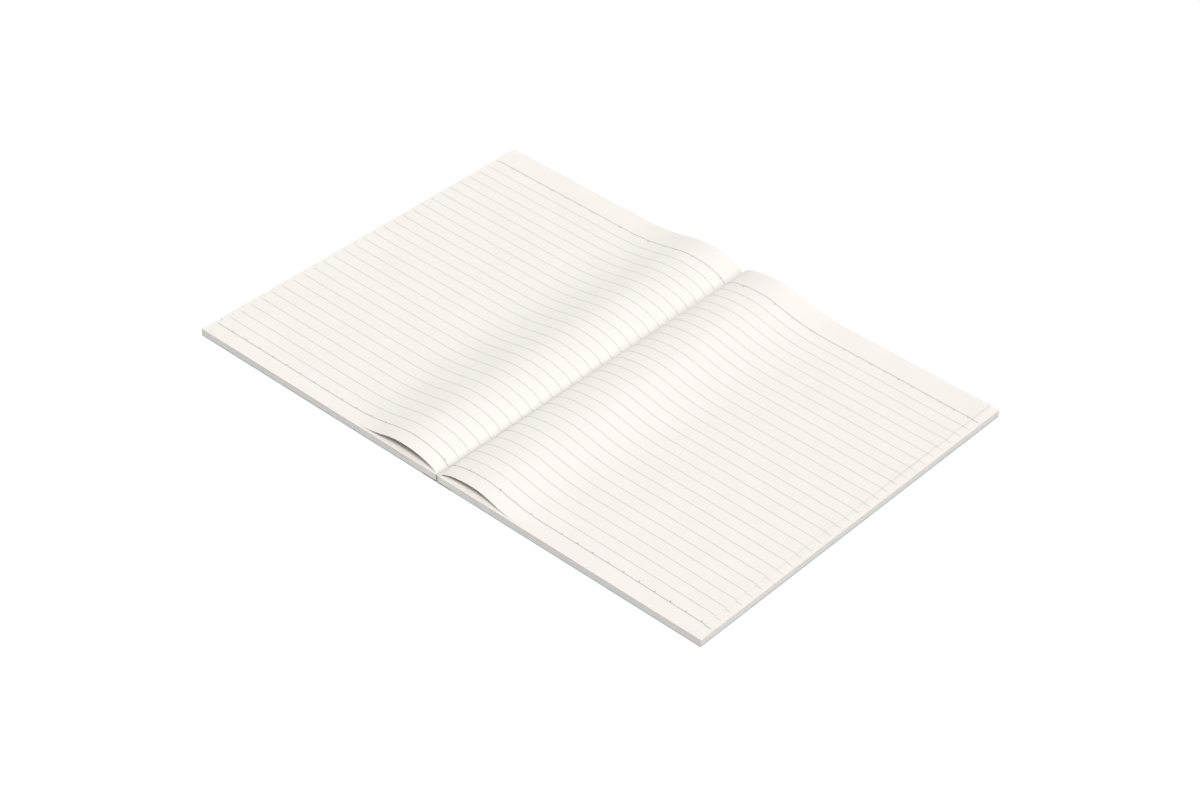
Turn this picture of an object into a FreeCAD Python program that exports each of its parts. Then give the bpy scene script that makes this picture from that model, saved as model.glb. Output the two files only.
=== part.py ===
import FreeCAD, Part
import os
from math import cos, radians, sin, tan

# An open notebook with a glued spine, lying flat on its covers and opened at the middle.
# The frame is the notebook's own: x = 0 is the gutter, +X is the back half and +Y the head of the pages.
# z = 0 is the surface that the covers lie on. All sizes are in millimetres.

# Page format and block
PAGE_WIDTH = 176.0
PAGE_HEIGHT = 250.0
HALF_THICKNESS = 4.46

# Covers: thin card that ends where the spine tape's wings begin
COVER_THICKNESS = 0.5
COVER_CLEARANCE = 0.02

# Spine: a cloth tape folded double in the slit between the two halves, with a stiff wing on each cover
TAPE_THICKNESS = 0.25
TAPE_WING_INNER = 0.8
TAPE_WING_REACH = 10.0
TAPE_FOLD_HEIGHT = 0.1
SLIT_HALF_GAP = 0.05
GLUE_WIDTH = 1.2

# Raised leaves: the topmost leaf of each half bows up beside the gutter
LEAF_THICKNESS = 0.15
LEAF_BOUND_EDGE = 0.06
LEAF_NEAR_SET_BACK = 1.3
FRONT_LEAF_REACH = 173.3
BACK_LEAF_REACH = 170.2

# Worked out from the above
HALF_HEIGHT = PAGE_HEIGHT / 2
BLOCK_BOTTOM = COVER_THICKNESS + COVER_CLEARANCE
TAPE_OUTER_FACE = SLIT_HALF_GAP + TAPE_THICKNESS
PAPER_EDGE = TAPE_OUTER_FACE + GLUE_WIDTH

BACK = 1
FRONT = -1


class LeafProfile:
    """Half of a leaf's cross-section: up from the gutter to a crest, then down to where it lands."""

    def __init__(self, start, angle, lift, crest, crest_height, before_crest, after_crest, before_landing, landing):
        self.start = start
        self.angle = angle
        self.lift = lift
        self.crest = crest
        self.crest_height = crest_height
        self.before_crest = before_crest
        self.after_crest = after_crest
        self.before_landing = before_landing
        self.landing = landing


FRONT_LEAF = LeafProfile(
    start=1.9, angle=53.0, lift=4.8,
    crest=25.0, crest_height=6.6,
    before_crest=10.5, after_crest=14.5,
    before_landing=26.5, landing=74.0,
)
BACK_LEAF_AT_HEAD = LeafProfile(
    start=0.25, angle=80.0, lift=3.6,
    crest=24.0, crest_height=6.9,
    before_crest=14.5, after_crest=13.0,
    before_landing=28.5, landing=75.0,
)
BACK_LEAF_AT_FOOT = LeafProfile(
    start=0.2, angle=52.0, lift=2.2,
    crest=23.4, crest_height=5.1,
    before_crest=14.0, after_crest=12.7,
    before_landing=22.0, landing=65.5,
)


def slab(side, inner, outer, bottom, top):
    """A full-height plate on one side of the gutter, from inner to outer distance."""
    width = outer - inner
    corner_x = inner if side == BACK else -outer
    corner = FreeCAD.Vector(corner_x, -HALF_HEIGHT, bottom)
    return Part.makeBox(width, PAGE_HEIGHT, top - bottom, corner)


def cover(side):
    """Card cover, joined edge to edge with the tape's wing."""
    return slab(side, TAPE_WING_REACH, PAGE_WIDTH, 0, COVER_THICKNESS)


def pages(side):
    """One half of the leaves, glued along the spine into one block."""
    return slab(side, PAPER_EDGE, PAGE_WIDTH, BLOCK_BOTTOM, HALF_THICKNESS)


def spine_glue(side):
    """The strip of binding glue between the leaves' edges and the tape."""
    return slab(side, TAPE_OUTER_FACE, PAPER_EDGE, BLOCK_BOTTOM, HALF_THICKNESS)


def tape_leg(side):
    """The tape's panel on the spine face, from the cover's fold up to the gutter's fold."""
    return slab(side, SLIT_HALF_GAP, TAPE_OUTER_FACE, TAPE_FOLD_HEIGHT, HALF_THICKNESS - TAPE_FOLD_HEIGHT)


def tape_wing(side):
    """The tape's panel along a cover's spine edge, where the cloth and its lining are as thick as the card."""
    return slab(side, TAPE_WING_INNER, TAPE_WING_REACH, 0, COVER_THICKNESS)


def point(side, distance, y, height):
    return FreeCAD.Vector(side * distance, y, HALF_THICKNESS + height)


def bezier_edge(poles):
    curve = Part.BezierCurve()
    curve.setPoles(poles)
    return curve.toShape()


def leaf_surface(side, profile, reach, y, rise):
    """One face of a leaf in section, from its bound edge to its fore edge, rise above its underside."""
    angle = radians(profile.angle)
    start = profile.start - rise * tan(angle / 2)
    crest_height = profile.crest_height + rise
    bound_edge = point(side, LEAF_BOUND_EDGE, y, rise)
    foot = point(side, start, y, rise)
    lifted = point(side, start + profile.lift * cos(angle), y, rise + profile.lift * sin(angle))
    crest_before = point(side, profile.crest - profile.before_crest, y, crest_height)
    crest = point(side, profile.crest, y, crest_height)
    crest_after = point(side, profile.crest + profile.after_crest, y, crest_height)
    landing_before = point(side, profile.landing - profile.before_landing, y, rise)
    landing = point(side, profile.landing, y, rise)
    fore_edge = point(side, reach, y, rise)
    return [
        Part.makeLine(bound_edge, foot),
        bezier_edge([foot, lifted, crest_before, crest]),
        bezier_edge([crest, crest_after, landing_before, landing]),
        Part.makeLine(landing, fore_edge),
    ]


def leaf_section(side, profile, reach, y):
    """Closed outline of a leaf's edge at one height of the page."""
    lower = leaf_surface(side, profile, reach, y, 0)
    upper = leaf_surface(side, profile, reach, y, LEAF_THICKNESS)
    fore_edge = Part.makeLine(point(side, reach, y, 0), point(side, reach, y, LEAF_THICKNESS))
    bound_edge = Part.makeLine(point(side, LEAF_BOUND_EDGE, y, LEAF_THICKNESS), point(side, LEAF_BOUND_EDGE, y, 0))
    return Part.Wire(lower + [fore_edge] + upper[::-1] + [bound_edge])


def raised_leaf(side, at_foot, at_head, reach):
    """A bowed leaf between its sections at the foot and at the head of the page."""
    foot = leaf_section(side, at_foot, reach, LEAF_NEAR_SET_BACK - HALF_HEIGHT)
    head = leaf_section(side, at_head, reach, HALF_HEIGHT)
    return Part.makeLoft([foot, head], True, True)


def build():
    nodes = {
        "front_raised_leaf": raised_leaf(FRONT, FRONT_LEAF, FRONT_LEAF, FRONT_LEAF_REACH),
        "back_raised_leaf": raised_leaf(BACK, BACK_LEAF_AT_FOOT, BACK_LEAF_AT_HEAD, BACK_LEAF_REACH),
    }
    for name, side in (("front", FRONT), ("back", BACK)):
        nodes[name + "_cover"] = cover(side)
        nodes[name + "_pages"] = pages(side)
        nodes[name + "_spine_glue"] = spine_glue(side)
        nodes[name + "_tape_leg"] = tape_leg(side)
        nodes[name + "_tape_wing"] = tape_wing(side)
    return nodes


os.makedirs("parts", exist_ok=True)
for name, shape in build().items():
    shape.exportStep("parts/" + name + ".step")
    print(name, "valid" if shape.isValid() else "not valid", round(shape.Volume, 1))
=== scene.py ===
import math
import random
from collections import namedtuple

import bpy
from mathutils import Matrix, Vector


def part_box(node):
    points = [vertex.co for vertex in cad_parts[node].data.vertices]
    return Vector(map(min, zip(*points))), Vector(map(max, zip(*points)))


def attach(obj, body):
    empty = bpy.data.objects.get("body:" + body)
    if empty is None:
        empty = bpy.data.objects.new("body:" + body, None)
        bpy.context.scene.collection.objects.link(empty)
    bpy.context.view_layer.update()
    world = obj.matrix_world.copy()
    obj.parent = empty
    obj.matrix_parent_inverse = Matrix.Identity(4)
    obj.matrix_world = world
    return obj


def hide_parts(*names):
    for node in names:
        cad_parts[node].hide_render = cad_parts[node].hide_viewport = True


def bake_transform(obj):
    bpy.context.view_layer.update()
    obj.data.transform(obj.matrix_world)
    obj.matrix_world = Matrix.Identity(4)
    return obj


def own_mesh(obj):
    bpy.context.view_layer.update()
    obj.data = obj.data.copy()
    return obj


# Looks of an open notebook: bowed ruled leaves, page blocks, card covers and a cloth spine tape.
# Lengths are in millimetres in the frame's own axes, unless a comment says metres.

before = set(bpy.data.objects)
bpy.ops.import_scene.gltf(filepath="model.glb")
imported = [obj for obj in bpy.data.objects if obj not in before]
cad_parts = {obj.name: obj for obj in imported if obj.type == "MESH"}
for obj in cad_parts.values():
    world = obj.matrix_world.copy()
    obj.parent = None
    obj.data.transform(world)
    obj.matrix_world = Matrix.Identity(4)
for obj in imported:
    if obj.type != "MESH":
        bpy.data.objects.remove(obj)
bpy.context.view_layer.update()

MM = 0.001
SEED = 11
FRONT = -1
BACK = 1

# Sizes read from the frame
PAGE_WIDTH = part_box("back_cover")[1].x / MM
HALF_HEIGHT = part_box("back_cover")[1].y / MM
COVER_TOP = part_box("back_cover")[1].z / MM
BLOCK_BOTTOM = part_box("back_pages")[0].z / MM
BLOCK_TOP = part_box("back_pages")[1].z / MM
PAPER_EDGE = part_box("back_pages")[0].x / MM
WING_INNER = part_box("back_tape_wing")[0].x / MM
WING_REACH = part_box("back_tape_wing")[1].x / MM
LEG_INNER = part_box("back_tape_leg")[0].x / MM
LEG_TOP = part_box("back_tape_leg")[1].z / MM
FRONT_LEAF_REACH = -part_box("front_raised_leaf")[0].x / MM
BACK_LEAF_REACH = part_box("back_raised_leaf")[1].x / MM
LEAF_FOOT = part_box("back_raised_leaf")[0].y / MM

# Cloth on the spine faces, pressed thinner than on the covers
LEG_THICKNESS = 0.15
LEG_OUTER = LEG_INNER + LEG_THICKNESS

# Paper, and where the bowed leaf and the page under it begin beside the gutter
PAPER_THICKNESS = 0.1
BOUND_EDGE = 0.06

# Ruling: light rules between two heavy ones, with small ticks on the heavy ones
LIGHT_RULES = 27
LIGHT_RULE = 0.225
HEAVY_RULE = 0.30
TICK_WIDTH = 0.45
TICK_LENGTH = 1.0
FRONT_PRINT_REACH = 174.8
BACK_PRINT_REACH = 174.2


def steps(low, high, count):
    """Even steps from low to high, with both ends."""
    return [low + (high - low) * i / count for i in range(count + 1)]


def linked_object(name, data):
    """A new object of a mesh, camera or lamp, linked to the scene."""
    made = bpy.data.objects.new(name, data)
    bpy.context.scene.collection.objects.link(made)
    return made


# Camera, seen from its target: angles in degrees, and the nearest and farthest it sees in metres
CAMERA_AZIMUTH = 38.987
CAMERA_ELEVATION = 38.325
CAMERA_ROLL = 3.630
CAMERA_DISTANCE = 1545.4
CAMERA_TARGET = Vector((17.63, -18.39, BLOCK_TOP))
CAMERA_LENS = 87.35
CAMERA_SENSOR = 36.0
CAMERA_NEAREST = 0.01
CAMERA_FARTHEST = 20.0


def add_camera():
    azimuth = math.radians(CAMERA_AZIMUTH)
    elevation = math.radians(CAMERA_ELEVATION)
    roll = math.radians(CAMERA_ROLL)
    back = Vector((
        math.sin(azimuth) * math.cos(elevation),
        -math.cos(azimuth) * math.cos(elevation),
        math.sin(elevation),
    ))
    level = Vector((0, 0, 1)).cross(back).normalized()
    upright = back.cross(level)
    right = math.cos(roll) * level + math.sin(roll) * upright
    up = math.cos(roll) * upright - math.sin(roll) * level
    data = bpy.data.cameras.new("camera")
    data.lens = CAMERA_LENS
    data.sensor_width = CAMERA_SENSOR
    data.clip_start = CAMERA_NEAREST
    data.clip_end = CAMERA_FARTHEST
    camera = linked_object("camera", data)
    camera.matrix_world = Matrix((right, up, back)).transposed().to_4x4()
    camera.location = (CAMERA_TARGET + back * CAMERA_DISTANCE) * MM
    bpy.context.scene.camera = camera


# Node trees


class Nodes:
    """A node tree, with a short way to add and join nodes."""

    def __init__(self, owner, output):
        """owner is the material or world that the tree belongs to, and output its last node's kind."""
        owner.use_nodes = True
        self.owner = owner
        self.tree = owner.node_tree
        self.tree.nodes.clear()
        self.output = self.add(output)

    def add(self, kind, **settings):
        """A new node. Each setting is one of its inputs, or else one of its own properties."""
        node = self.tree.nodes.new(kind)
        for name, value in settings.items():
            if name in node.inputs:
                node.inputs[name].default_value = value
            else:
                setattr(node, name, value)
        return node

    def join(self, source, target):
        self.tree.links.new(source, target)

    def feed(self, target, value):
        """Gives an input its value: another node's output, a colour or a number."""
        if isinstance(value, bpy.types.NodeSocket):
            self.join(value, target)
        elif isinstance(value, tuple):
            target.default_value = (*value, 1.0)
        else:
            target.default_value = value

    def place(self):
        """Where a point is on the piece, in metres."""
        return self.add("ShaderNodeTexCoord").outputs["Object"]

    def from_gutter(self):
        """How far a point is from the gutter, in metres."""
        apart = self.add("ShaderNodeSeparateXYZ")
        self.join(self.place(), apart.inputs["Vector"])
        distance = self.add("ShaderNodeMath", operation="ABSOLUTE")
        self.join(apart.outputs["X"], distance.inputs[0])
        return distance.outputs[0]

    def noise(self, grain, detail=3.0, roughness=0.55):
        """Noise whose grain is in repeats a metre: one number, or one for each axis."""
        node = self.add("ShaderNodeTexNoise", Detail=detail, Roughness=roughness)
        if isinstance(grain, tuple):
            stretched = self.add("ShaderNodeMapping", Scale=grain)
            self.join(self.place(), stretched.inputs["Vector"])
            self.join(stretched.outputs["Vector"], node.inputs["Vector"])
            node.inputs["Scale"].default_value = 1.0
        else:
            self.join(self.place(), node.inputs["Vector"])
            node.inputs["Scale"].default_value = grain
        return node.outputs["Fac"]

    def spread(self, value, between, becomes=(0.0, 1.0)):
        """value, with one range turned into another and cut off at its ends."""
        node = self.add("ShaderNodeMapRange")
        node.inputs["From Min"].default_value, node.inputs["From Max"].default_value = between
        node.inputs["To Min"].default_value, node.inputs["To Max"].default_value = becomes
        self.join(value, node.inputs["Value"])
        return node.outputs["Result"]

    def joined(self, operation, first, second):
        """One number from two outputs."""
        node = self.add("ShaderNodeMath", operation=operation)
        self.join(first, node.inputs[0])
        self.join(second, node.inputs[1])
        return node.outputs[0]

    def mixed(self, factor, first, second):
        """A colour between two."""
        node = self.add("ShaderNodeMix", data_type="RGBA")
        self.join(factor, node.inputs["Factor"])
        for name, colour in (("A", first), ("B", second)):
            socket = [i for i in node.inputs if i.name == name and i.type == "RGBA"][0]
            self.feed(socket, colour)
        return [o for o in node.outputs if o.type == "RGBA"][0]

    def bump(self, height, relief):
        """A surface that height shapes. relief is its strength and its depth."""
        strength, depth = relief
        node = self.add("ShaderNodeBump", Strength=strength, Distance=depth * MM)
        self.join(height, node.inputs["Height"])
        return node.outputs["Normal"]

    def surface(self, colour, roughness, normal=None, specular=0.3, sheen=0.0):
        """The finished material."""
        shader = self.add("ShaderNodeBsdfPrincipled")
        shader.inputs["Specular IOR Level"].default_value = specular
        shader.inputs["Sheen Weight"].default_value = sheen
        self.feed(shader.inputs["Base Color"], colour)
        self.feed(shader.inputs["Roughness"], roughness)
        if normal:
            self.join(normal, shader.inputs["Normal"])
        self.join(shader.outputs["BSDF"], self.output.inputs["Surface"])
        return self.owner

    def backdrop(self, lighting, shown):
        """lighting is what lights the object, and shown what the camera, mirrors and glass show."""
        path = self.add("ShaderNodeLightPath")
        looks = path.outputs["Is Camera Ray"]
        for name in ("Is Glossy Ray", "Is Transmission Ray"):
            looks = self.joined("MAXIMUM", looks, path.outputs[name])
        choice = self.add("ShaderNodeMixShader")
        self.join(looks, choice.inputs[0])
        self.join(lighting.outputs[0], choice.inputs[1])
        self.join(shown.outputs[0], choice.inputs[2])
        self.join(choice.outputs[0], self.output.inputs["Surface"])
        return self.owner


def material_nodes(name):
    """The empty node tree of a new material."""
    return Nodes(bpy.data.materials.new(name), "ShaderNodeOutputMaterial")


# Colours
WHITE = (1.0, 1.0, 1.0, 1.0)
PAPER_COLOUR = (0.935, 0.893, 0.844)
PAPER_SHADE = (0.920, 0.877, 0.828)
# Painted shade: the paper's colour at the gutter, darker to stand for the shade in the crease
PAINTED_GUTTER_SHADE = (0.765, 0.728, 0.690)
# Painted shade: the leaves' underside is darker and greyer than the paper, to stand for the shade
# beneath a raised leaf
UNDERSIDE_PAINTED_SHADE_COLOUR = (0.860, 0.845, 0.830)
UNDERSIDE_PAINTED_SHADE_MOTTLE = (0.840, 0.825, 0.810)
EDGE_COLOUR = (0.915, 0.880, 0.862)
EDGE_SHADE = (0.877, 0.842, 0.822)
# Painted highlight: the page edges' paler colour by the spine, standing for light that the bent leaves
# there catch
SPINE_EDGE_PAINTED_HIGHLIGHT = (0.985, 0.955, 0.935)
LIGHT_INK = (0.23, 0.297, 0.365)
HEAVY_INK = (0.080, 0.115, 0.160)
CARD_COLOUR = (0.275, 0.610, 0.590)
CARD_SHADE = (0.235, 0.555, 0.538)
CARD_FIBRE = (0.390, 0.690, 0.670)
CLOTH_COLOUR = (0.015, 0.013, 0.012)
CLOTH_SHADE = (0.006, 0.005, 0.005)
GLUE_COLOUR = (0.890, 0.855, 0.815)
GLUE_SHADE = (0.830, 0.790, 0.745)

# How far the painted shade at the gutter reaches, and where the page edges, under their painted
# highlight, are palest and no longer paler
PAINTED_GUTTER_SHADE_REACH = 2.8
SPINE_EDGE_FROM = 8.0
SPINE_EDGE_TO = 26.0

# Grain of each material, in repeats a metre, for each axis where it is drawn out
PAPER_MOTTLE = 55.0
PAPER_GLOSS = 900.0
PAPER_TOOTH = 5200.0
INK_GRAIN = 2600.0
EDGE_STREAKS = (18.0, 18.0, 9000.0)
EDGE_DRIFT = (30.0, 30.0, 300.0)
CARD_CLOUD = 38.0
CARD_FIBRES = (900.0, 2600.0, 1500.0)
CARD_GRAIN = 2400.0
GLUE_DRAW = (700.0, 60.0, 700.0)

# Strength and depth of each material's relief
PAPER_RELIEF = (0.12, 0.04)
EDGE_RELIEF = (0.25, 0.03)
CARD_RELIEF = (0.25, 0.06)
CLOTH_RELIEF = (0.5, 0.08)
GLUE_RELIEF = (0.2, 0.05)

# Roughness, with its range where it varies
PAPER_ROUGHNESS = (0.82, 0.92)
CARD_ROUGHNESS = (0.55, 0.72)
INK_ROUGHNESS = 0.8
EDGE_ROUGHNESS = 0.9
CLOTH_ROUGHNESS = 0.78
GLUE_ROUGHNESS = 0.5

# Ranges that hold most of a noise's values, narrow and wide
NARROW = (0.35, 0.65)
WIDE = (0.3, 0.7)

# Noise at which the ink begins to break up and is most broken, and how much is lost there
INK_BREAKS = (0.42, 0.72)
INK_LOSS = 0.35

# Noise at which the card's flecks begin to show and show most, and how strong they are there
FLECKS = (0.6, 0.85)
FLECK_STRENGTH = 0.7

# Parts that the fine streaks and the slow change have in the colour of the page edges
STREAK_SHARE = 0.6
DRIFT_SHARE = 0.4

# The cloth's threads, and how far apart a wave texture's bands are at scale 1, in metres
THREAD_PITCH = 0.36
THREAD_WAVER = 1.2
THREAD_DETAIL = 3.0
WAVE_PITCH = 0.31
WEAVE_HEIGHTS = (0.3, 1.0)


def paper_material(name, light, shade):
    """Uncoated writing paper: a soft mottle, a very fine tooth, and painted shade that darkens it
    towards the gutter.
    """
    nodes = material_nodes(name)
    mottle = nodes.noise(PAPER_MOTTLE, detail=4.0)
    colour = nodes.mixed(nodes.spread(mottle, NARROW), shade, light)
    # Painted shade: the paper darkens towards the gutter, where the crease would be shaded
    open_share = nodes.spread(nodes.from_gutter(), (0.0, PAINTED_GUTTER_SHADE_REACH * MM))
    shaded = nodes.mixed(open_share, PAINTED_GUTTER_SHADE, colour)
    roughness = nodes.spread(nodes.noise(PAPER_GLOSS), WIDE, PAPER_ROUGHNESS)
    tooth = nodes.noise(PAPER_TOOTH, detail=2.0, roughness=0.6)
    return nodes.surface(shaded, roughness, nodes.bump(tooth, PAPER_RELIEF), specular=0.25)


def ink_material(name, colour):
    """Printed ink that breaks up a little on the paper's tooth."""
    nodes = material_nodes(name)
    broken = nodes.spread(nodes.noise(INK_GRAIN, detail=2.0), INK_BREAKS, (0.0, INK_LOSS))
    return nodes.surface(nodes.mixed(broken, colour, PAPER_SHADE), INK_ROUGHNESS, specular=0.2)


def page_edge_material():
    """The trimmed edges of many leaves: level streaks, a slow change, and a painted highlight that makes
    them paler by the spine.
    """
    nodes = material_nodes("page_edges")
    streaks = nodes.noise(EDGE_STREAKS, roughness=0.6)
    drift = nodes.noise(EDGE_DRIFT, detail=2.0, roughness=0.5)
    fine = nodes.spread(streaks, NARROW, (0.0, STREAK_SHARE))
    slow = nodes.spread(drift, NARROW, (0.0, DRIFT_SHARE))
    colour = nodes.mixed(nodes.joined("ADD", fine, slow), EDGE_SHADE, EDGE_COLOUR)
    # Painted highlight: the page edges grow paler towards the spine
    away = nodes.spread(nodes.from_gutter(), (SPINE_EDGE_FROM * MM, SPINE_EDGE_TO * MM))
    spine_highlighted = nodes.mixed(away, SPINE_EDGE_PAINTED_HIGHLIGHT, colour)
    return nodes.surface(spine_highlighted, EDGE_ROUGHNESS, nodes.bump(streaks, EDGE_RELIEF), specular=0.2)


def card_material():
    """Dyed cover card: pressed fibres, fine flecks and a low sheen."""
    nodes = material_nodes("cover_card")
    cloud = nodes.noise(CARD_CLOUD, detail=5.0)
    ground = nodes.mixed(nodes.spread(cloud, WIDE), CARD_SHADE, CARD_COLOUR)
    fibre = nodes.noise(CARD_FIBRES, detail=4.0, roughness=0.65)
    colour = nodes.mixed(nodes.spread(fibre, FLECKS, (0.0, FLECK_STRENGTH)), ground, CARD_FIBRE)
    grain = nodes.noise(CARD_GRAIN, roughness=0.6)
    roughness = nodes.spread(grain, WIDE, CARD_ROUGHNESS)
    return nodes.surface(colour, roughness, nodes.bump(grain, CARD_RELIEF), specular=0.4)


def threads(nodes, direction):
    """The cloth's threads, side by side along an axis and a little uneven."""
    wave = nodes.add(
        "ShaderNodeTexWave", wave_type="BANDS", bands_direction=direction,
        Scale=WAVE_PITCH / (THREAD_PITCH * MM), Distortion=THREAD_WAVER, Detail=2.0,
    )
    wave.inputs["Detail Scale"].default_value = THREAD_DETAIL
    nodes.join(nodes.place(), wave.inputs["Vector"])
    return wave.outputs["Fac"]


def cloth_material():
    """Woven binding cloth, with warp and weft threads that lie over each other."""
    nodes = material_nodes("spine_tape")
    weave = nodes.joined("MAXIMUM", threads(nodes, "X"), threads(nodes, "Y"))
    colour = nodes.mixed(nodes.spread(weave, WEAVE_HEIGHTS), CLOTH_SHADE, CLOTH_COLOUR)
    relief = nodes.bump(weave, CLOTH_RELIEF)
    return nodes.surface(colour, CLOTH_ROUGHNESS, relief, specular=0.2, sheen=0.05)


def glue_material():
    """Set binding glue, slightly waxy, with faint draw marks along the spine."""
    nodes = material_nodes("spine_glue")
    drawn = nodes.noise(GLUE_DRAW, roughness=0.6)
    colour = nodes.mixed(nodes.spread(drawn, WIDE), GLUE_SHADE, GLUE_COLOUR)
    return nodes.surface(colour, GLUE_ROUGHNESS, nodes.bump(drawn, GLUE_RELIEF), specular=0.4)


PAPER = paper_material("page_paper", PAPER_COLOUR, PAPER_SHADE)
# Paper for the leaves' underside, with painted shade in its darker, greyer colour
PAINTED_SHADE_UNDERSIDE = paper_material("page_underside_painted_shade", UNDERSIDE_PAINTED_SHADE_COLOUR, UNDERSIDE_PAINTED_SHADE_MOTTLE)
LIGHT_RULE_INK = ink_material("light_rule_ink", LIGHT_INK)
HEAVY_RULE_INK = ink_material("heavy_rule_ink", HEAVY_INK)
PAGE_EDGES = page_edge_material()
CARD = card_material()
CLOTH = cloth_material()
GLUE = glue_material()

# Order of the materials on a ruled sheet
PAPER_INDEX = 0
LIGHT_INDEX = 1
HEAVY_INDEX = 2
UNDERSIDE_INDEX = 3
SHEET_MATERIALS = (PAPER, LIGHT_RULE_INK, HEAVY_RULE_INK, PAINTED_SHADE_UNDERSIDE)

# Edges that bend by more degrees than this are sharp
SHARP_ANGLE = 40.0


def mesh_object(name, points, faces, materials, indices=None, smooth=False):
    """An object from points in millimetres, with one material index a face."""
    mesh = bpy.data.meshes.new(name)
    mesh.from_pydata([tuple(c * MM for c in p) for p in points], [], faces)
    for material in materials:
        mesh.materials.append(material)
    if indices:
        mesh.polygons.foreach_set("material_index", indices)
    mesh.polygons.foreach_set("use_smooth", [smooth] * len(mesh.polygons))
    mesh.update()
    if smooth:
        mesh.set_sharp_from_angle(angle=math.radians(SHARP_ANGLE))
    return linked_object(name, mesh)


def face_outwards(made):
    """Turns every face of a closed mesh to the outside."""
    bpy.context.view_layer.objects.active = made
    bpy.ops.object.select_all(action="DESELECT")
    made.select_set(True)
    bpy.ops.object.mode_set(mode="EDIT")
    bpy.ops.mesh.select_all(action="SELECT")
    bpy.ops.mesh.normals_make_consistent(inside=False)
    bpy.ops.object.mode_set(mode="OBJECT")


# Ruled sheets


class Ruling:
    """The print of one page: a heavy rule near head and foot, light rules between, and ticks.

    The ticks along the heavy rules are apart by bow_pitch from tick_from to the gutter, and by
    flat_pitch from there outwards."""

    def __init__(
        self, head, first_light, last_light, foot,
        tick_from=None, bow_pitch=None, flat_pitch=None,
    ):
        self.head = head
        self.first_light = first_light
        self.last_light = last_light
        self.foot = foot
        self.tick_from = tick_from
        self.bow_pitch = bow_pitch
        self.flat_pitch = flat_pitch

    def bands(self):
        """(low, high, material index) of each rule across the page."""
        rules = [(self.head, HEAVY_RULE, HEAVY_INDEX), (self.foot, HEAVY_RULE, HEAVY_INDEX)]
        for middle in steps(self.first_light, self.last_light, LIGHT_RULES - 1):
            rules.append((middle, LIGHT_RULE, LIGHT_INDEX))
        return [(middle - width / 2, middle + width / 2, index) for middle, width, index in rules]

    def tick_bands(self):
        """(low, high) of the two rows of ticks, which point into the ruled area."""
        if not self.tick_from:
            return []
        half = HEAVY_RULE / 2
        return [
            (self.head - half - TICK_LENGTH, self.head - half),
            (self.foot + half, self.foot + half + TICK_LENGTH),
        ]

    def ticks(self, reach):
        """Distance of each tick from the gutter, along the paper."""
        if not self.tick_from:
            return []
        inwards = int(self.tick_from / self.bow_pitch)
        outwards = int((reach - self.tick_from) / self.flat_pitch)
        bowed = [self.tick_from - self.bow_pitch * i for i in range(inwards, 0, -1)]
        return bowed + [self.tick_from + self.flat_pitch * i for i in range(outwards + 1)]


FRONT_RULING = Ruling(
    head=109.08, first_light=100.54, last_light=-107.18, foot=-115.44,
    tick_from=80.6, bow_pitch=10.83, flat_pitch=10.44,
)
BACK_RULING = Ruling(
    head=108.46, first_light=100.05, last_light=-105.94, foot=-114.45,
    tick_from=66.95, bow_pitch=10.66, flat_pitch=10.21,
)
FRONT_UNDER_RULING = Ruling(head=108.1, first_light=100.25, last_light=-103.85, foot=-111.7)
BACK_UNDER_RULING = Ruling(head=107.9, first_light=99.92, last_light=-107.52, foot=-115.5)


def bezier(poles, t):
    """The point at t on a Bezier curve, of any degree."""
    while len(poles) > 1:
        poles = [a.lerp(b, t) for a, b in zip(poles, poles[1:])]
    return poles[0]


# Length of a leaf that its crease at the gutter rounds, on each side
CREASE = 0.9


class LeafProfile:
    """A bowed leaf's section, as (distance from the gutter, height), in five runs.

    They are the bound strip, the crease, the climb to the crest, the fall to the landing and the
    flat. The flat ends at None, which stands for the fore edge."""

    def __init__(
        self, start, angle, lift, crest, crest_height,
        before_crest, after_crest, before_landing, landing,
    ):
        self.crest_height = crest_height
        slope = Vector((math.cos(math.radians(angle)), math.sin(math.radians(angle))))
        crease = min(CREASE, (start - BOUND_EDGE) / 2)
        bound = Vector((BOUND_EDGE, 0.0))
        crease_start = Vector((start - crease, 0.0))
        foot = Vector((start, 0.0))
        crease_end = foot + slope * crease
        top = Vector((crest, crest_height))
        top_before = top - Vector((before_crest, 0.0))
        top_after = top + Vector((after_crest, 0.0))
        landing_before = Vector((landing - before_landing, 0.0))
        landed = Vector((landing, 0.0))
        self.runs = [
            [bound, crease_start],
            [crease_start, foot, crease_end],
            [crease_end, foot + slope * lift, top_before, top],
            [top, top_after, landing_before, landed],
            [landed, None],
        ]

    def point(self, run, parameter, reach):
        """A point of one run, for a leaf whose fore edge is at reach."""
        poles = [Vector((reach, 0.0)) if pole is None else pole for pole in self.runs[run]]
        return bezier(poles, parameter)


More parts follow.
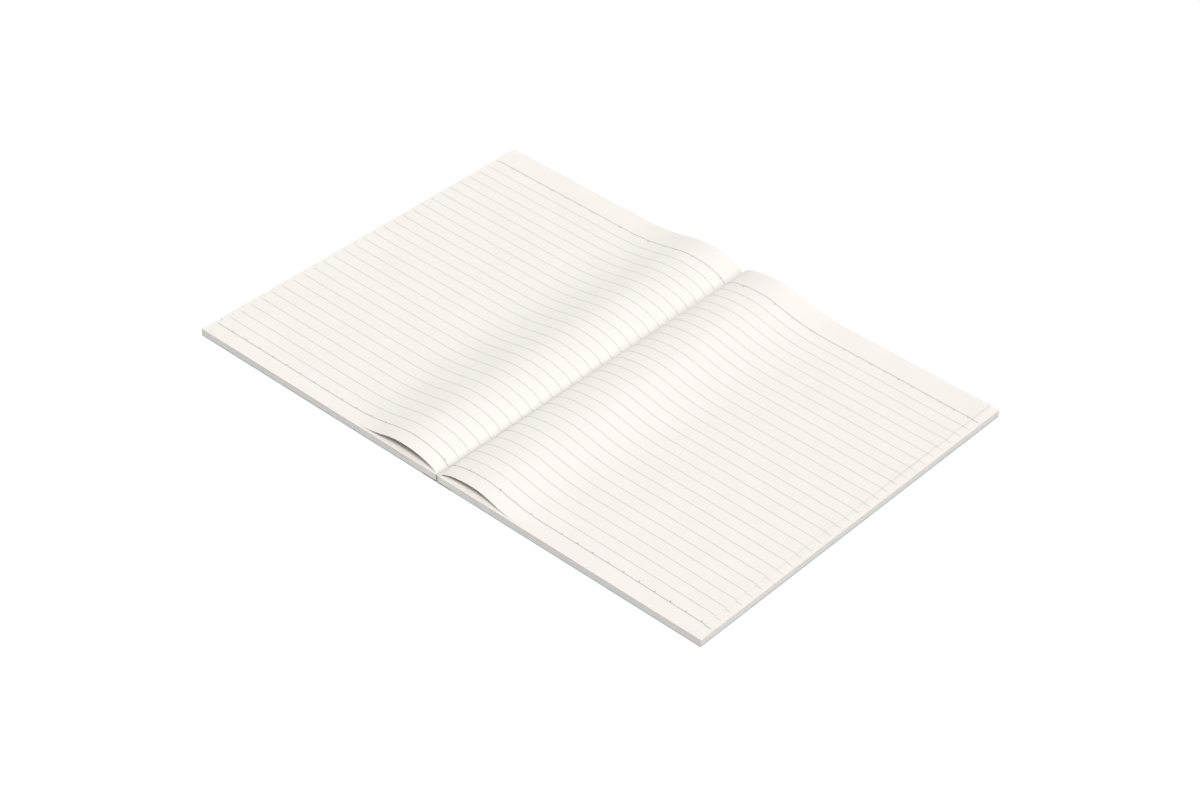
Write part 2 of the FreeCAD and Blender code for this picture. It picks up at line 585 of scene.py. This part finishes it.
FRONT_BOW = LeafProfile(
    start=1.9, angle=53.0, lift=4.8,
    crest=25.0, crest_height=6.6,
    before_crest=10.5, after_crest=14.5,
    before_landing=26.5, landing=74.0,
)
FRONT_BOW_AT_EDGE = LeafProfile(
    start=1.9, angle=40.0, lift=5.0,
    crest=24.4, crest_height=6.65,
    before_crest=12.0, after_crest=14.0,
    before_landing=17.0, landing=60.0,
)
BACK_BOW_AT_HEAD = LeafProfile(
    start=0.25, angle=80.0, lift=3.6,
    crest=24.0, crest_height=6.9,
    before_crest=14.5, after_crest=13.0,
    before_landing=28.5, landing=75.0,
)
BACK_BOW_AT_FOOT = LeafProfile(
    start=0.2, angle=52.0, lift=2.2,
    crest=23.4, crest_height=5.1,
    before_crest=14.0, after_crest=12.7,
    before_landing=22.0, landing=65.5,
)
BACK_BOW_AT_EDGE = LeafProfile(
    start=1.8, angle=46.0, lift=3.4,
    crest=23.6, crest_height=5.15,
    before_crest=12.5, after_crest=12.5,
    before_landing=18.0, landing=56.0,
)

# Number of strips in each run of a section
RUN_STEPS = (1, 6, 30, 34, 20)

# A line of points up the page: where it is on the section and along the paper, and whether a tick
# starts there
Column = namedtuple("Column", "run parameter along starts_tick")


def bow_columns(profile, reach):
    """The columns of a bowed leaf, without its ticks."""
    columns = []
    along = 0.0
    last = None
    for run, count in enumerate(RUN_STEPS):
        for parameter in steps(0.0, 1.0, count):
            here = profile.point(run, parameter, reach)
            if last is not None:
                along += (here - last).length
            if not columns or parameter > 0:
                columns.append(Column(run, parameter, along, False))
            last = here
    return columns


def with_ticks(columns, ticks):
    """The columns, with two more at the sides of each tick."""
    wanted = list(columns)
    for tick in ticks:
        for edge, starts_tick in ((tick - TICK_WIDTH / 2, True), (tick + TICK_WIDTH / 2, False)):
            for before, after in zip(columns, columns[1:]):
                if before.along <= edge < after.along:
                    share = (edge - before.along) / (after.along - before.along)
                    start = before.parameter if before.run == after.run else 0.0
                    parameter = start + (after.parameter - start) * share
                    wanted.append(Column(after.run, parameter, edge, starts_tick))
    wanted.sort(key=lambda column: column.along)
    return wanted


# Digits to which two cuts agree when they are one row, and the kind of a strip that holds ticks
ROW_DIGITS = 5
TICK_ROW = "ticks"


def sheet_rows(ruling, foot, head):
    """Rows across the page at the edges of the rules and ticks, and the kind of each strip."""
    cuts = {foot, head}
    for low, high, _ in ruling.bands():
        cuts |= {low, high}
    for low, high in ruling.tick_bands():
        cuts |= {low, high}
    rows = sorted({round(c, ROW_DIGITS) for c in cuts if foot <= c <= head})
    kinds = []
    for low, high in zip(rows, rows[1:]):
        middle = (low + high) / 2
        kind = PAPER_INDEX
        for band_low, band_high, index in ruling.bands():
            if band_low < middle < band_high:
                kind = index
        if any(a < middle < b for a, b in ruling.tick_bands()):
            kind = TICK_ROW
        kinds.append(kind)
    return rows, kinds


def closed_sheet(name, upper, lower, kinds, tick_strips, print_strips, smooth):
    """A thin closed sheet from two grids of points. Print lies on the upper grid's faces."""
    rows, columns = len(upper), len(upper[0])
    points = [p for row in upper for p in row] + [p for row in lower for p in row]
    under = rows * columns
    faces = []
    indices = []
    for row in range(rows - 1):
        for column in range(columns - 1):
            here = row * columns + column
            beside = here + 1
            above = here + columns
            opposite = above + 1
            kind = kinds[row]
            if kind == TICK_ROW:
                kind = HEAVY_INDEX if column in tick_strips else PAPER_INDEX
            if column not in print_strips:
                kind = PAPER_INDEX
            faces.append((here, beside, opposite, above))
            indices.append(kind)
            faces.append((under + here, under + above, under + opposite, under + beside))
            indices.append(UNDERSIDE_INDEX)
    last_row = (rows - 1) * columns
    rim = list(range(columns))
    rim += [row * columns + columns - 1 for row in range(1, rows)]
    rim += [last_row + column for column in range(columns - 2, -1, -1)]
    rim += [row * columns for row in range(rows - 2, 0, -1)]
    for here, beside in zip(rim, rim[1:] + rim[:1]):
        faces.append((here, under + here, under + beside, beside))
        indices.append(PAPER_INDEX)
    made = mesh_object(name, points, faces, SHEET_MATERIALS, indices, smooth)
    face_outwards(made)
    return made


# Width of the curl at a leaf's fore edge, and of the part where its print drifts faster and faster
CURL_WIDTH = 24.0
DRIFT_WIDTH = 60.0
DRIFT_POWER = 1.5


def curl(distance, reach, lift):
    """Height of the leaf's fore edge off the page under it, which fades out over the curl."""
    share = max(0.0, 1.0 - (reach - distance) / CURL_WIDTH)
    return lift * share * share


def drifted(y, distance, reach, drift):
    """Where the print at y comes to lie: it drifts towards the foot on its way to the fore edge."""
    share = max(0.0, 1.0 - (reach - distance) / DRIFT_WIDTH)
    return y - drift * share ** DRIFT_POWER


def leaf_section(at_foot, at_head, share, columns, reach, lift):
    """The leaf's underside across one row, a share of the way from one section to the other."""
    section = []
    for column in columns:
        foot_point = at_foot.point(column.run, column.parameter, reach)
        head_point = at_head.point(column.run, column.parameter, reach)
        point = foot_point.lerp(head_point, share)
        section.append(point + Vector((0.0, curl(point.x, reach, lift))))
    return section


def section_normals(section):
    """The direction out of the leaf's upper face, at each point of a section."""
    normals = []
    for i in range(len(section)):
        ahead = section[min(i + 1, len(section) - 1)]
        behind = section[max(i - 1, 0)]
        along = (ahead - behind).normalized()
        normals.append(Vector((-along.y, along.x)))
    return normals


def bowed_leaf(name, side, sections, reach, ruling, lean, lifts, drift):
    """The raised leaf of one half: a ruled sheet that bows up beside the gutter and then lies flat.

    sections are those at its free lower edge, at its foot and at its head. The free edge leans out
    by lean at its crest, lifts are the fore edge's heights at foot and head, and drift is the
    print's."""
    at_edge, at_foot, at_head = sections
    lift_at_foot, lift_at_head = lifts
    columns = with_ticks(bow_columns(at_foot, reach), ruling.ticks(reach))
    rows, kinds = sheet_rows(ruling, LEAF_FOOT, HALF_HEIGHT)
    upper, lower = [], []
    for row, y in enumerate(rows):
        share = (y - LEAF_FOOT) / (HALF_HEIGHT - LEAF_FOOT)
        lift = lift_at_foot + (lift_at_head - lift_at_foot) * share
        near = at_edge if row == 0 else at_foot
        section = leaf_section(near, at_head, share, columns, reach, lift)
        if row == 0:
            places = [y - lean * point.y / at_edge.crest_height for point in section]
        elif row == len(rows) - 1:
            places = [y] * len(section)
        else:
            places = [drifted(y, point.x, reach, drift) for point in section]
        outer = [
            point + normal * PAPER_THICKNESS
            for point, normal in zip(section, section_normals(section))
        ]
        upper.append([(side * p.x, place, BLOCK_TOP + p.y) for p, place in zip(outer, places)])
        lower.append([(side * p.x, place, BLOCK_TOP + p.y) for p, place in zip(section, places)])
    tick_strips = {i for i, column in enumerate(columns) if column.starts_tick}
    return closed_sheet(name, upper, lower, kinds, tick_strips, range(len(columns)), smooth=True)


# The top page of a block: how far its fore edge is set back and its face lies below the block's top
PAGE_SET_BACK = 0.03
PAGE_CLEARANCE = 0.005
PAGE_STRIPS = 6


def flat_page(name, side, top, ruling, print_reach):
    """The page under the raised leaf, whose print stops short of the fore edge."""
    across = [BOUND_EDGE] + steps(PAPER_EDGE, print_reach, PAGE_STRIPS) + [PAGE_WIDTH - PAGE_SET_BACK]
    rows, kinds = sheet_rows(ruling, -HALF_HEIGHT, HALF_HEIGHT)
    upper = [[(side * x, y, top) for x in across] for y in rows]
    lower = [[(side * x, y, top - PAPER_THICKNESS) for x in across] for y in rows]
    return closed_sheet(name, upper, lower, kinds, set(), range(1, len(across) - 2), smooth=False)


# Page blocks: the pitch of their leaves, the gap between two and the most that one is trimmed short
LEAF_PITCH = 0.1005
LEAF_GAP = 0.012
TRIM_SLIP = 0.05

# Corners of a box's bottom, top and four sides, and the material index of each
BOX_FACES = ((0, 3, 2, 1), (4, 5, 6, 7), (0, 1, 5, 4), (1, 2, 6, 5), (2, 3, 7, 6), (3, 0, 4, 7))
STACK_MATERIALS = (PAGE_EDGES, PAPER)
STACK_INDICES = (1, 1, 0, 0, 0, 0)


def leaf_stack(name, side, top):
    """The glued leaves under the top page, each trimmed a hair differently."""
    draw = random.Random(SEED + side)
    points, faces, indices = [], [], []
    count = int((top - BLOCK_BOTTOM) / LEAF_PITCH)
    pitch = (top - BLOCK_BOTTOM) / count
    for i in range(count):
        low = BLOCK_BOTTOM + i * pitch
        high = low + pitch - LEAF_GAP
        fore = PAGE_WIDTH - draw.uniform(0, TRIM_SLIP)
        foot = -HALF_HEIGHT + draw.uniform(0, TRIM_SLIP)
        head = HALF_HEIGHT - draw.uniform(0, TRIM_SLIP)
        near, far = sorted((side * PAPER_EDGE, side * fore))
        start = len(points)
        for z in (low, high):
            points += [(near, foot, z), (far, foot, z), (far, head, z), (near, head, z)]
        faces += [tuple(start + corner for corner in face) for face in BOX_FACES]
        indices += STACK_INDICES
    return mesh_object(name, points, faces, STACK_MATERIALS, indices)


# Covers and glue, and how much their edges are rounded
CARD_ROUNDING = 0.05
GLUE_ROUNDING = 0.08
ROUNDING_SEGMENTS = 2


def extruded(name, outline, rows, material):
    """A closed prism along Y from an outline of (x, z) points, with a ring of points at each row."""
    count = len(outline)
    points = [(x, y, z) for y in rows for x, z in outline]
    last_row = (len(rows) - 1) * count
    faces = [tuple(range(count)), tuple(last_row + i for i in reversed(range(count)))]
    for row in range(len(rows) - 1):
        for i in range(count):
            here = row * count + i
            beside = row * count + (i + 1) % count
            faces.append((here, here + count, beside + count, beside))
    made = mesh_object(name, points, faces, (material,))
    face_outwards(made)
    return made


def rounded_bar(name, side, across, upright, material, rounding):
    """A bar the whole height of the book, on one side of the gutter, with rounded edges."""
    inner, outer = across
    bottom, top = upright
    outline = [(side * inner, bottom), (side * outer, bottom), (side * outer, top), (side * inner, top)]
    made = extruded(name, outline, [-HALF_HEIGHT, HALF_HEIGHT], material)
    modifier = made.modifiers.new("soft_edges", "BEVEL")
    modifier.width = rounding * MM
    modifier.segments = ROUNDING_SEGMENTS
    modifier.limit_method = "ANGLE"
    modifier.angle_limit = math.radians(SHARP_ANGLE)
    return made


def cover_board(name, side):
    """Card cover, which meets the tape's wing edge to edge."""
    return rounded_bar(name, side, (WING_REACH, PAGE_WIDTH), (0.0, COVER_TOP), CARD, CARD_ROUNDING)


def glue_strip(name, side):
    """The bead of glue between the leaves and the tape, under the top page."""
    upright = (BLOCK_BOTTOM, BLOCK_TOP - PAPER_THICKNESS)
    return rounded_bar(name, side, (LEG_OUTER, PAPER_EDGE), upright, GLUE, GLUE_ROUNDING)


# The tape: where the side tapes end and the gutter tape begins, and the fold under the spine
CUT_HEIGHT = 2.3
FOLD_HEIGHT = 0.9
FOLD_STEPS = 8
WING_STEPS = 6
LEG_STEPS = 3
TAPE_ROWS = 4


def cloth_strip(name, inside, outside):
    """Cloth between two paths of (x, z) points along its two faces, the whole height of the book."""
    outline = [tuple(p) for p in inside + outside[::-1]]
    return extruded(name, outline, steps(-HALF_HEIGHT, HALF_HEIGHT, TAPE_ROWS), CLOTH)


def tape_face(side, height, leg):
    """One face of a side tape: along the wing at height, round the fold, then up the spine face."""
    wing_end = Vector((side * WING_INNER, height))
    leg_start = Vector((side * leg, FOLD_HEIGHT))
    bend = [wing_end, Vector((side * leg, height)), leg_start]
    path = [Vector((side * x, height)) for x in steps(WING_REACH, WING_INNER, WING_STEPS)]
    path += [bezier(bend, t) for t in steps(0.0, 1.0, FOLD_STEPS)[1:]]
    path += [Vector((side * leg, z)) for z in steps(FOLD_HEIGHT, CUT_HEIGHT, LEG_STEPS)[1:]]
    return path


def side_tape(name, side):
    """The tape from its edge on a cover, round the foot of the spine, and up the spine face."""
    return cloth_strip(name, tape_face(side, COVER_TOP, LEG_OUTER), tape_face(side, 0.0, LEG_INNER))


def gutter_face(leg):
    """One face of the gutter tape: up one spine face, over a round fold and down the other."""
    turn = LEG_TOP - LEG_OUTER
    path = [Vector((-leg, z)) for z in steps(CUT_HEIGHT, turn, LEG_STEPS)]
    for share in steps(0.0, 1.0, FOLD_STEPS)[1:-1]:
        angle = math.pi * share
        path.append(Vector((-leg * math.cos(angle), turn + leg * math.sin(angle))))
    return path + [Vector((leg, z)) for z in steps(turn, CUT_HEIGHT, LEG_STEPS)]


def gutter_tape(name):
    """The tape from one spine face over the fold at the gutter to the other."""
    return cloth_strip(name, gutter_face(LEG_INNER), gutter_face(LEG_OUTER))


# Assembly: a bowed leaf's free edge's lean, its fore edge's lifts at foot and head, and its print's
# drift
FRONT_EDGE_LEAN = 1.0
BACK_EDGE_LEAN = 0.0
FRONT_EDGE_LIFTS = (0.12, 0.15)
BACK_EDGE_LIFTS = (0.12, 0.6)
FRONT_PRINT_DRIFT = 0.0
BACK_PRINT_DRIFT = 0.75
HALVES = (
    ("front", FRONT, FRONT_UNDER_RULING, FRONT_PRINT_REACH),
    ("back", BACK, BACK_UNDER_RULING, BACK_PRINT_REACH),
)


def add_half(word, side, under_ruling, print_reach):
    """Cover, pages, glue and tape of one half."""
    pages = word + "_pages"
    cover = word + "_cover"
    stack = leaf_stack(word + "_leaf_stack", side, BLOCK_TOP - PAPER_THICKNESS)
    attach(stack, pages)
    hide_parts(pages)
    top_page = flat_page(word + "_top_page", side, BLOCK_TOP - PAGE_CLEARANCE, under_ruling, print_reach)
    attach(top_page, pages)
    board = cover_board(word + "_cover_board", side)
    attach(board, cover)
    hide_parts(cover)
    strip = glue_strip(word + "_glue_strip", side)
    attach(strip, pages)
    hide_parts(word + "_spine_glue")
    tape = side_tape(word + "_side_tape", side)
    ends = [
        (cover, (side * WING_INNER * MM, 0, COVER_TOP * MM)),
        (pages, (side * LEG_INNER * MM, 0, FOLD_HEIGHT * MM)),
    ]
    # The tape's ends on the cover and on the pages, the other way round for the back half
    if side == BACK:
        ends.reverse()
    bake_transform(tape)
    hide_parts(word + "_tape_wing")


def add_gutter_tape():
    """The tape's two panels on the spine faces, joined by one round fold at the gutter."""
    tape = gutter_tape("gutter_tape")
    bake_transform(tape)
    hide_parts("front_tape_leg", "back_tape_leg")


def add_bowed_leaf(word, side, sections, reach, ruling, lean, lifts, drift):
    """The raised leaf of one half."""
    leaf = bowed_leaf(word + "_bowed_leaf", side, sections, reach, ruling, lean, lifts, drift)
    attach(leaf, word + "_pages")
    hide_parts(word + "_raised_leaf")
    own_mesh(leaf)


# Studio: a floor, even light from all round, and four lamps
FLOOR_DROP = 0.7
FLOOR_WIDTH = 9000.0
FLOOR_COLOUR = (0.33, 0.33, 0.33, 1.0)
FLOOR_SHADED = (0.26, 0.26, 0.26, 1.0)
FLOOR_GLOW = 0.80
AMBIENT = 0.20

# Each lamp's name, where it shines from, its strength and its spread in degrees
LIGHTS = (
    ("key", Vector((0.34, -0.40, 0.80)), 2.20, 17.0),
    ("right_fill", Vector((0.92, 0.0, 0.38)), 0.70, 38.0),
    ("left_fill", Vector((-0.65, -0.25, 0.70)), 0.42, 38.0),
    ("back_fill", Vector((-0.45, 0.75, 0.42)), 0.33, 38.0),
)


def floor_material():
    """A pale floor that reads as white where nothing shades it."""
    nodes = material_nodes("studio_floor")
    plain = nodes.add("ShaderNodeBsdfDiffuse", Color=FLOOR_COLOUR)
    shaded = nodes.add("ShaderNodeBsdfDiffuse", Color=FLOOR_SHADED)
    glow = nodes.add("ShaderNodeEmission", Strength=FLOOR_GLOW)
    seen = nodes.add("ShaderNodeAddShader")
    nodes.join(shaded.outputs[0], seen.inputs[0])
    nodes.join(glow.outputs[0], seen.inputs[1])
    return nodes.backdrop(plain, seen)


def add_floor():
    half = FLOOR_WIDTH / 2
    corners = ((-half, -half), (half, -half), (half, half), (-half, half))
    points = [(x, y, -FLOOR_DROP) for x, y in corners]
    floor = mesh_object("studio_floor", points, [(0, 1, 2, 3)], (floor_material(),))


def add_world():
    """Even ambient light, which shows as white where the camera looks past the floor."""
    world = bpy.data.worlds.new("studio")
    bpy.context.scene.world = world
    nodes = Nodes(world, "ShaderNodeOutputWorld")
    ambient = nodes.add("ShaderNodeBackground", Color=WHITE, Strength=AMBIENT)
    white = nodes.add("ShaderNodeBackground", Color=WHITE, Strength=1.0)
    nodes.backdrop(ambient, white)


def add_light(name, direction, strength, spread):
    """A soft far light that shines from that direction on everything."""
    data = bpy.data.lights.new(name, "SUN")
    data.energy = strength
    data.angle = math.radians(spread)
    light = linked_object(name, data)
    light.location = direction
    light.rotation_mode = "QUATERNION"
    light.rotation_quaternion = direction.to_track_quat("Z", "Y")


add_camera()
add_floor()
add_world()
for lamp in LIGHTS:
    add_light(*lamp)
for half in HALVES:
    add_half(*half)
add_gutter_tape()
add_bowed_leaf(
    "front", FRONT, (FRONT_BOW_AT_EDGE, FRONT_BOW, FRONT_BOW), FRONT_LEAF_REACH,
    FRONT_RULING, FRONT_EDGE_LEAN, FRONT_EDGE_LIFTS, FRONT_PRINT_DRIFT,
)
add_bowed_leaf(
    "back", BACK, (BACK_BOW_AT_EDGE, BACK_BOW_AT_FOOT, BACK_BOW_AT_HEAD), BACK_LEAF_REACH,
    BACK_RULING, BACK_EDGE_LEAN, BACK_EDGE_LIFTS, BACK_PRINT_DRIFT,
)

bpy.context.scene.view_settings.view_transform = "Standard"
